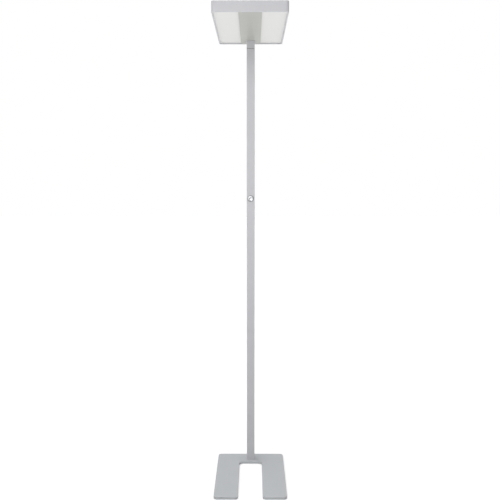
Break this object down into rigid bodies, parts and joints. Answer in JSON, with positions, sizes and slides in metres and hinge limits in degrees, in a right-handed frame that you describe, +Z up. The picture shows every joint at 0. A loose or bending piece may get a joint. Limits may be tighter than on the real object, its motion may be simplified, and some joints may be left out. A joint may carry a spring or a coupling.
{
  "type": "floor lamp",
  "caption": "Office floor lamp: flat box head with down and up light on a slim square pole, push button on the pole, U-shaped base plate open to the front",
  "frame": {"origin": "on the floor, under the middle of the head", "axes": "+Z up along the pole; -Y the front, where the base plate's mouth opens and the button faces; +X to the right as seen from the front"},
  "size_m": [0.304, 0.606, 1.95],
  "materials": {
    "silver_powder_coat": "silver-grey powder coat, satin, fine-grained",
    "strip_powder_coat": "grey powder coat, matt",
    "satin_silver": "silver-painted plastic, satin",
    "satin_aluminium": "turned, satin",
    "mill_aluminium": "extruded, as drawn",
    "bright_steel": "zinc plated",
    "plain_steel": "sawn, oiled",
    "zinc_sheet": "galvanised sheet",
    "white_sheet": "white coil coat",
    "white_reflector": "white, matt",
    "satin_diffuser": "opal, satin",
    "clear_pane": "clear acrylic",
    "board_white": "white solder mask",
    "board_green": "green solder mask",
    "light_chip": "phosphor under silicone",
    "driver_white": "moulded",
    "terminal_plastic": "moulded, natural",
    "black_plastic": "moulded, fine-grained",
    "glide_rubber": "moulded",
    "white_sheath": "soft sheath",
    "grey_sheath": "soft sheath"
  },
  "bodies": {
    "stand": {"base_plate": "silver_powder_coat", "base_glides": "glide_rubber", "base_screws": "bright_steel", "pole_tube": "silver_powder_coat", "pole_foot": "plain_steel", "cable_gland": "black_plastic", "terminal_bracket": "zinc_sheet", "foot_terminal": "terminal_plastic", "supply_lead": "white_sheath", "control_lead": "grey_sheath", "button_bezel": "satin_silver", "button_housing": "black_plastic", "button_spring": "bright_steel", "switch_body": "black_plastic", "control_board": "board_green", "neck_spigot": "mill_aluminium", "neck_tube": "silver_powder_coat", "neck_flange": "plain_steel", "head_frame": "silver_powder_coat", "head_chassis": "white_sheet", "top_cover": "silver_powder_coat", "centre_cover": "strip_powder_coat", "rear_cover": "strip_powder_coat", "led_driver": "driver_white", "driver_straps": "zinc_sheet", "head_terminal": "terminal_plastic", "driver_lead": "white_sheath", "board_leads": "grey_sheath", "uplight_pane_left": "clear_pane", "diffuser_rail_left": "mill_aluminium", "diffuser_left": "satin_diffuser", "reflector_left": "white_reflector", "downlight_board_left": "board_white", "downlight_chips_left": "light_chip", "uplight_board_left": "board_white", "uplight_chips_left": "light_chip", "uplight_pane_right": "clear_pane", "diffuser_rail_right": "mill_aluminium", "diffuser_right": "satin_diffuser", "reflector_right": "white_reflector", "downlight_board_right": "board_white", "downlight_chips_right": "light_chip", "uplight_board_right": "board_white", "uplight_chips_right": "light_chip"},
    "button": {"button_cap": "satin_aluminium", "switch_plunger": "terminal_plastic"}
  },
  "joints": [
    {"name": "button_press", "type": "slide", "parent": "stand", "child": "button", "axis": [0, 1, 0], "range_m": [0, 0.0012], "stiffness_N_per_m": 400, "springref_m": -0.002, "deforming": ["button_spring"]}
  ]
}
